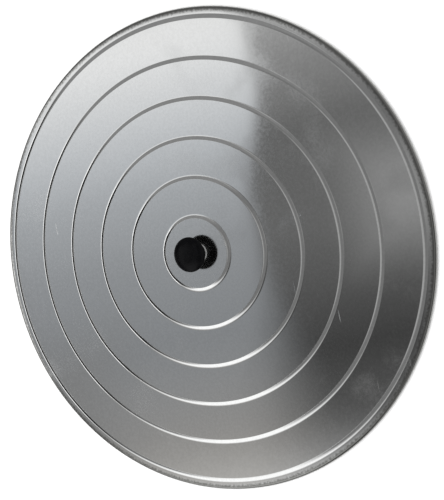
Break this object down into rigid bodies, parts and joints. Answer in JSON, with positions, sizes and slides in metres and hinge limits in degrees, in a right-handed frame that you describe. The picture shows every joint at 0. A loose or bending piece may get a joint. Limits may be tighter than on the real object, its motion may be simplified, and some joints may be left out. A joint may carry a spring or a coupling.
{
  "type": "stepped pan lid",
  "caption": "Round shallow lid in satin sheet metal with concentric steps, a rolled rim and a black mushroom knob at its centre.",
  "frame": {"origin": "on the lid's axis, at the level of the surface that its rolled rim rests on", "axes": "+Z along the lid's axis, towards the knob; the lid is round about it"},
  "size_m": [0.5, 0.5, 0.0295],
  "materials": {
    "lid_sheet": "satin rolled sheet, lightly scratched",
    "collar": "bright turned",
    "phenolic": "glossy black moulded phenolic",
    "brass": "machined",
    "fastener_steel": "zinc plated"
  },
  "bodies": {
    "lid": {"lid_shell": "lid_sheet"},
    "knob_stack": {"knob": "phenolic", "knob_collar": "collar", "knob_insert": "brass", "knob_screw": "fastener_steel", "flat_washer": "fastener_steel", "spring_washer": "fastener_steel"}
  },
  "joints": [
    {"name": "knob_turn", "type": "hinge", "parent": "lid", "child": "knob_stack", "pos_m": [0, 0, 0.0116], "axis": [0, 0, 1], "continuous": true}
  ]
}
